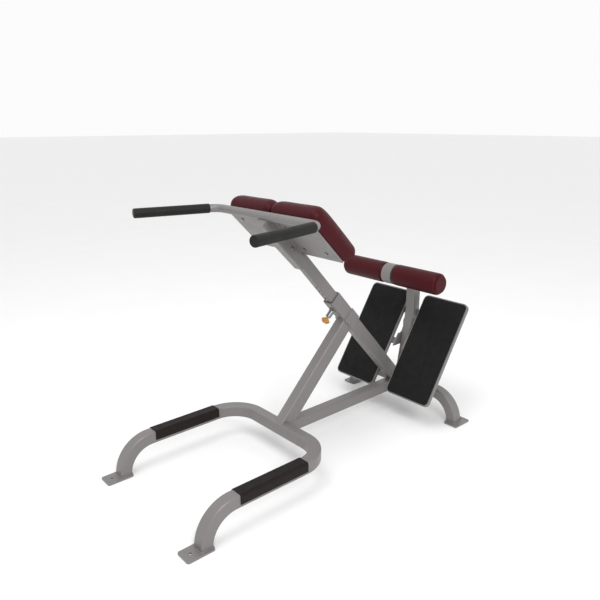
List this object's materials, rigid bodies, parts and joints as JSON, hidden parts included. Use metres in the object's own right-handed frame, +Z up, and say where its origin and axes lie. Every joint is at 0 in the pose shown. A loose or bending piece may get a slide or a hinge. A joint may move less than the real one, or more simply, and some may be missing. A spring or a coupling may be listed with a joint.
{
  "type": "roman chair",
  "caption": "Free-standing 45 degree back extension bench: tube frame, telescoping mast with split hip pads and handlebar, ankle rollers and sloping foot trays.",
  "frame": {"origin": "on the floor, at the bottom centre of the bench's bounding box", "axes": "+X is forward, the way the user faces and the front feet point; +Y is to the user's left; +Z is up"},
  "size_m": [1.5512, 0.7906, 1.0826],
  "materials": {
    "frame_paint": "satin",
    "vinyl": "satin",
    "wear_rubber": "matte",
    "grip_rubber": "matte",
    "mat_rubber": "matte",
    "plywood": "matte",
    "black_plastic": "satin",
    "knob_plastic": "gloss",
    "zinc": "satin"
  },
  "bodies": {
    "frame": {"front_leg_left": "frame_paint", "front_leg_right": "frame_paint", "front_crossbar": "frame_paint", "front_foot_left": "frame_paint", "front_foot_right": "frame_paint", "wear_strip_left": "wear_rubber", "wear_strip_right": "wear_rubber", "spine": "frame_paint", "rear_crossbar": "frame_paint", "rear_foot_left": "frame_paint", "rear_foot_right": "frame_paint", "brace": "frame_paint", "brace_cheeks": "frame_paint", "brace_bolt": "zinc", "mast_tube": "frame_paint", "mast_collar": "frame_paint", "mast_liner": "black_plastic", "pin_housing": "zinc", "pin_spring": "zinc", "roller_post": "frame_paint", "roller_hub": "frame_paint", "roller_axle": "zinc", "axle_clips": "zinc", "gusset_left": "frame_paint", "gusset_right": "frame_paint", "tray_arms_left": "frame_paint", "tray_arms_right": "frame_paint", "foot_tray_left": "frame_paint", "foot_tray_right": "frame_paint", "foot_mat_left": "mat_rubber", "foot_mat_right": "mat_rubber"},
    "head": {"inner_mast": "frame_paint", "mast_plug": "black_plastic", "head_bracket": "frame_paint", "head_bolt": "zinc", "pad_plate_left": "frame_paint", "pad_plate_right": "frame_paint", "pad_board_left": "plywood", "pad_board_right": "plywood", "hip_pad_left": "vinyl", "hip_pad_right": "vinyl", "pad_screws": "zinc", "handlebar": "frame_paint", "grip_left": "grip_rubber", "grip_right": "grip_rubber"},
    "pin": {"pin_plunger": "zinc", "pin_knob": "knob_plastic"},
    "roller_left": {"roller_core_left": "black_plastic", "roller_pad_left": "vinyl", "roller_cap_left": "vinyl"},
    "roller_right": {"roller_core_right": "black_plastic", "roller_pad_right": "vinyl", "roller_cap_right": "vinyl"}
  },
  "joints": [
    {"name": "head_slide", "type": "slide", "parent": "frame", "child": "head", "axis": [0.673, 0, 0.7396], "range_m": [-0.15, 0.075]},
    {"name": "pin_pull", "type": "slide", "parent": "frame", "child": "pin", "axis": [0.7396, 0, -0.673], "range_m": [0, 0.01], "stiffness_N_per_m": 800, "springref_m": -0.004, "deforming": ["pin_spring"]},
    {"name": "roller_left_spin", "type": "hinge", "parent": "frame", "child": "roller_left", "pos_m": [-0.5544, 0.15, 0.679], "axis": [0, 1, 0], "continuous": true},
    {"name": "roller_right_spin", "type": "hinge", "parent": "frame", "child": "roller_right", "pos_m": [-0.5544, -0.15, 0.679], "axis": [0, 1, 0], "continuous": true}
  ]
}
